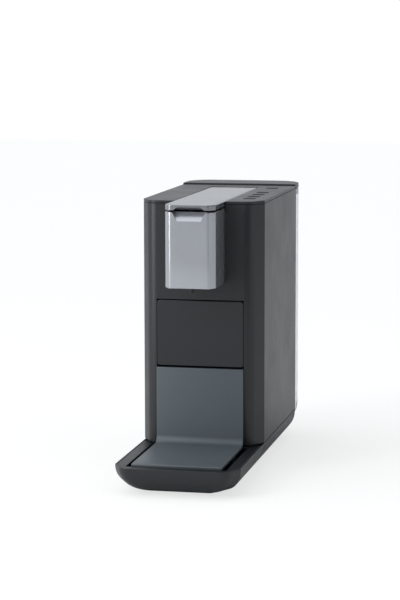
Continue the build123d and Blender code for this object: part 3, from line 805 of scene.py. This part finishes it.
def makeTray():
    # outlines from the middle of the bottom outwards, up the roll, over the lip, and down the inside
    low, high = span("drip_tray_shell")
    front, top = low[1], high[2]
    width = high[0]

    def ring(z, roll, closer):
        # the plan drawn in by the quarter circle under it, then by the wall
        drop = min(roll, max(0.0, tray["low"] + tray["roll"] - z))
        pull = roll - math.sqrt(max(0.0, roll ** 2 - drop ** 2))
        return draw(planShape(width - pull, front + pull, seam(z) - tray["gap"], steps=12), closer)

    r = tray["roll"]
    inner = r - tray["wall"]
    down = np.radians(np.linspace(0, 90, 13))
    outside = [tray["low"] + r * (1 - math.cos(t)) for t in down]
    rows = fan(ring(tray["low"], r, 0), tray["low"], 0, 4)[::-1]
    rows += [(ring(z, r, 0), z) for z in outside[1:]]
    e = tray["edge"]
    a = np.radians(np.linspace(0, 90, 5))
    rows += [(ring(top, r, e * (1 - math.cos(t))), top - e * (1 - math.sin(t))) for t in a]
    rows += [(ring(top, r, tray["lip"] - e * (1 - math.sin(t))), top - e * (1 - math.cos(t))) for t in a]
    ledge, step = tray["ledge"], tray["step"]
    rows += [(ring(top, r, tray["lip"]), ledge), (ring(top, r, tray["upper"]), ledge),
             (ring(top, r, tray["upper"]), step), (ring(top, r, tray["wall"]), step)]
    floor = tray["low"] + tray["wall"]
    inside = [floor + inner * (1 - math.cos(t)) for t in down[::-1]]
    rows += [(ring(z, inner, tray["wall"]), z) for z in inside if z < step - 1]
    rows += fan(rows[-1][0], floor, 0, 4)
    makePiece("tray_shell", [skin(tower(rows))], "drip_tray", "body_grey", "drip_tray_shell", 40)


rim = {"inset": 1.8, "rear": -53.5, "openingHalf": 54.0, "openingPast": 3.0, "openingRear": -72.0,
       "corner": 1.6, "edge": 0.5}


def makeRim():
    # the machine's plan moved inwards, between two heights, with a rounded opening
    low, high = span("drip_tray_rim")
    corners, radii, steps = planShape(half, span("drip_tray_shell")[0][1], rim["rear"])
    outer = (inset(corners, rim["inset"]), np.maximum(np.array(radii) - rim["inset"], 0.5), steps)
    front = span("cup_stand")[0][1] - rim["openingPast"]
    opening = rectangle(-rim["openingHalf"], rim["openingHalf"], front, rim["openingRear"],
                        rim["corner"], 6, hole=True)
    surfaces = plate([outer, opening], low[2], high[2], 0.3, rim["edge"])
    # the rim's finish is body grey darkened as painted shade
    makePiece("tray_rim", surfaces, "drip_tray", "body_grey", "drip_tray_rim", finish="rimShadedGrey")


stand = {"deck": 32.3, "plate": 3.6, "sheet": 2.4, "bend": 8.0, "edge": 0.6, "tip": 1.4,
         "legs": ((-40, 40), (-168, -88)), "legRadius": 4.0}


def makeStand():
    # a bent sheet: an L of y and z carried along x, on turned legs
    low, high = span("cup_stand")
    deck = stand["deck"]
    face = high[1] - stand["sheet"]
    corners = [(low[1], deck - stand["plate"]), (high[1], deck - stand["plate"]), (high[1], high[2]),
               (face, high[2]), (face, deck), (low[1], deck)]
    shape = (corners, [0.8, stand["bend"] + 2.0, 0.8, 0.9, stand["bend"], stand["tip"]], 12)
    surfaces = turned(plate([shape], low[0], high[0], stand["edge"], stand["edge"]), acrossX)
    for x in stand["legs"][0]:
        for y in stand["legs"][1]:
            r = stand["legRadius"]
            leg = [(0, low[2]), (r - 0.6, low[2]), (r, low[2] + 0.6), (r, deck - 2.5), (0, deck - 2.5)]
            surfaces.append(lathe(leg, (x, y), 32))
    makePiece("stand", surfaces, "cup_stand", "stand_grey", "cup_stand")


base = {"wall": 2.5, "tail": 10.0, "ceiling": 27.5, "gland": (-40.0, 16.0, 4.2)}


def tubSection(closer, ceiling):
    # the base's cross-section: flat bottom, big round lower edges, flat top
    side, low, r = half - closer, tray["low"] + closer, tray["roll"] - closer
    corners = [(-side, ceiling), (-side, low), (side, low), (side, ceiling)]
    return roundCorners(corners, [0.35, r - 0.01, r - 0.01, 0.35], 24)


def makeBase():
    # one tub inside another, joined at the mouth and by the hole for the lead
    low, high = span("base_pan")
    w, tail = base["wall"], base["tail"]

    def run(section, end):
        # the section carried along y from the curved seam; at the tail nothing hangs below a quarter circle
        t = np.concatenate([[0.0, 0.2, 0.5, 0.8], np.linspace(0.9, 1, 9)])[:, None]
        x, z = section.T[:, None]
        start = seam(z)
        y = start + (end - start) * t
        past = np.clip(y - (high[1] - tail), 0, tail)
        floor = low[2] + tail - np.sqrt(np.maximum(0, tail ** 2 - past ** 2))
        return np.stack([x + 0 * t, y, np.maximum(z, floor)], -1)

    outer = run(tubSection(0, high[2]), high[1])
    inner = run(tubSection(w, base["ceiling"]), high[1] - w)
    mouth = np.stack([outer[0], inner[0]])
    x, z, r = base["gland"]
    hole = draw(disc(x, z, r, 9, hole=True))
    depth = np.full(len(hole), high[1])
    tube = np.stack([np.column_stack([hole[:, 0], depth - w * t, hole[:, 1]]) for t in (0, 1)])
    surfaces = [skin(outer), skin(inner), skin(mouth), skin(tube)]
    surfaces += turned([flatFace([outer[-1][:, [0, 2]], hole], high[1])], acrossY)
    surfaces += turned([flatFace([inner[-1][:, [0, 2]], hole], high[1] - w)], acrossY)
    makePiece("base_tub", surfaces, "machine", "body_grey", "base_pan", 40)


def makeFeet():
    # a turned foot at each corner of the node's box
    for node, body, r in (("rubber_feet", "machine", 8.0), ("tray_feet", "drip_tray", 7.0)):
        low, high = span(node)
        xs = (low[0] + r, high[0] - r)
        ys = (low[1] + r, high[1] - r)
        # hollow in the middle underneath, and a little into the shell above
        foot = [(0, low[2] + 0.6), (r - 3, low[2] + 0.6), (r - 2.4, low[2]), (r - 0.8, low[2]),
                (r, low[2] + 0.8), (r, high[2] + 0.1), (0, high[2] + 0.1)]
        surfaces = [lathe(foot, (x, y), 40) for x in xs for y in sorted(set(ys))]
        makePiece(f"{node}_pads", surfaces, body, "soft_rubber", node)


makeTray()
makeRim()
makeStand()
makeBase()
makeFeet()
print("tray, stand and base ready")

# water tank and its lid

tank = {"front": 158.5, "corner": 29.0, "belly": 50.0, "bellyDrop": 0.25, "wall": 2.2, "dockHalf": 27.0,
        "dockRear": 187.0, "dockTop": 44.2}


def makeTank():
    # one closed sheet inside another, joined at the brim
    low, high = span("water_tank")
    back, centre = high[1], low[2] - tank["bellyDrop"] + tank["belly"]
    axis = back - tank["belly"]
    roundStart = high[0] - tank["corner"]

    def sheet(closer, grow, bottom, top):
        # front and back of the tank over a grid of x and z: the back is a big round below,
        # and corner rounds at the sides; the front steps back round the dock
        r = tank["corner"] - closer
        bend = roundStart + r * np.sin(np.radians(np.linspace(90, 0, 13)))
        stepX = tank["dockHalf"] + grow
        right = np.concatenate([bend, [stepX, stepX]])
        x = np.concatenate([-right, np.linspace(-stepX, stepX, 9)[1:-1], right[::-1]])
        inRecess = np.zeros(len(x), bool)
        inRecess[len(right) - 1:len(x) - len(right) + 1] = True
        stepZ = tank["dockTop"] + grow
        belly = tank["belly"] - closer
        first = math.asin((tank["front"] + closer - axis) / belly)
        curve = centre - belly * np.cos(np.linspace(first, np.pi / 2, 26))
        z = np.unique(np.concatenate([curve, [stepZ, bottom], np.linspace(centre, top, 6)]).round(4))
        z = z[z >= bottom]
        z = np.sort(np.concatenate([z, [stepZ]]))
        above = np.zeros(len(z), bool)
        above[np.searchsorted(z, stepZ) + 1:] = True
        under = np.clip(centre - z, 0, belly)
        bellyY = axis + np.sqrt(belly ** 2 - under ** 2)
        beyond = np.clip(np.abs(x) - roundStart, 0, r)
        cornerY = back - tank["corner"] + np.sqrt(r ** 2 - beyond ** 2)
        rear = np.minimum(bellyY[:, None], cornerY[None])
        wallY = np.full((len(z), len(x)), tank["front"] + closer)
        wallY[np.ix_(~above, inRecess)] = tank["dockRear"] + grow
        wallY = np.minimum(wallY, rear)
        xx, zz = np.meshgrid(x, z)
        loop = np.concatenate([np.stack([xx, wallY, zz], -1), np.stack([xx, rear, zz], -1)[:, ::-1]], 1)
        faces = quads(loop)
        # where the front and the back meet there is no face
        thick = np.concatenate([rear - wallY, (rear - wallY)[:, ::-1]], 1).reshape(-1)[faces].max(1)
        return loop, faces[thick > 1e-4]

    w = tank["wall"]
    outer, outerFaces = sheet(0.0, 0.0, low[2], high[2])
    inner, innerFaces = sheet(w, w, low[2] + w, high[2])
    brim = np.concatenate([outer[-1:], inner[-1:]])
    surfaces = [(outer.reshape(-1, 3), outerFaces), (inner.reshape(-1, 3), innerFaces), skin(brim)]
    makePiece("tank_shell", surfaces, "tank", "clear_tank", "water_tank", 30)


def tankPlan(width, front, rear, bend):
    # a rectangle with big rounds at the back
    return [(-width, front), (width, front), (width, rear), (-width, rear)], [0.8, 0.8, bend, bend], 14


collar = {"top": 296.2, "wall": 2.8, "edge": 0.4, "earHalf": 2.5, "earX": 34.0, "earRadius": 1.45,
          "earLow": 293.0}


def makeCollar():
    # a band round the tank's plan, and two ears for the hinge pin, round at the top
    low, high = span("tank_collar")
    pin = span("lid_hinge_pin")
    y, z = ((pin[0] + pin[1]) / 2)[1:]
    wall = collar["wall"]
    outer = tankPlan(half, low[1], high[1], tank["corner"])
    corners, radii, steps = tankPlan(half - wall, low[1] + wall, high[1] - wall, tank["corner"] - wall)
    inner = corners[::-1], radii[::-1], steps
    surfaces = plate([outer, inner], low[2], collar["top"], 0.2, collar["edge"])
    r = collar["earRadius"]
    foot, across = collar["earLow"], collar["earHalf"]
    ear = ([(y - r, foot), (y + r, foot), (y + r, z + r), (y - r, z + r)], [0.1, 0.1, r - 0.01, r - 0.01], 6)
    for x in (-collar["earX"], collar["earX"]):
        surfaces += turned(plate([ear], x - across, x + across, 0.2, 0.2, 0.1), acrossX)
    makePiece("collar", surfaces, "tank", "collar_grey", "tank_collar")


lid = {"edge": 1.2, "notchX": (30.8, 37.2), "notchFront": 199.8, "notchTop": 301.0, "midColumn": 16.0}


def makeLid():
    # outlines up from the underside, over a quarter round, to the middle of the top
    low, high = span("tank_lid")
    bend = tank["corner"]
    near, far = lid["notchX"]
    turn = np.radians(np.linspace(90, 0, 12))
    # columns from the side to the middle, two of them at each end of the notch
    middle = (near + far) / 2
    inside = [far, middle + 1.6, middle, middle - 1.6, near]
    side = np.concatenate([half - bend + bend * np.sin(turn), [far], inside, [near, lid["midColumn"]]])
    inNotch = np.zeros(len(side), bool)
    inNotch[len(turn) + 1:len(turn) + 1 + len(inside)] = True
    curve = high[1] - bend + np.sqrt(np.maximum(0, bend ** 2 - np.clip(side - (half - bend), 0, None) ** 2))

    def ring(z):
        # the front edge, then the rear curve, which steps in round the two hinge ears below their top
        y = np.where(inNotch & (z <= lid["notchTop"]), lid["notchFront"], curve)
        right = np.column_stack([np.concatenate([[half], side]), np.concatenate([[low[1]], y])])
        return np.concatenate([right, mirrored(right)])

    e = lid["edge"]
    a = np.radians(np.linspace(0, 90, 7))
    rows = [(ring(low[2]), low[2]), (ring(low[2]), lid["notchTop"]), (ring(high[2]), lid["notchTop"])]
    rows += [(inset(ring(high[2]), e * (1 - math.cos(t))), high[2] - e * (1 - math.sin(t))) for t in a]
    rows += fan(inset(ring(high[2]), e + 0.5), high[2])
    surfaces = [skin(tower(rows)), flatFace([rows[0][0]], low[2])]
    makePiece("lid", surfaces, "tank_lid", "body_grey", "tank_lid")


makeTank()
makeCollar()
makeLid()
print("tank ready")
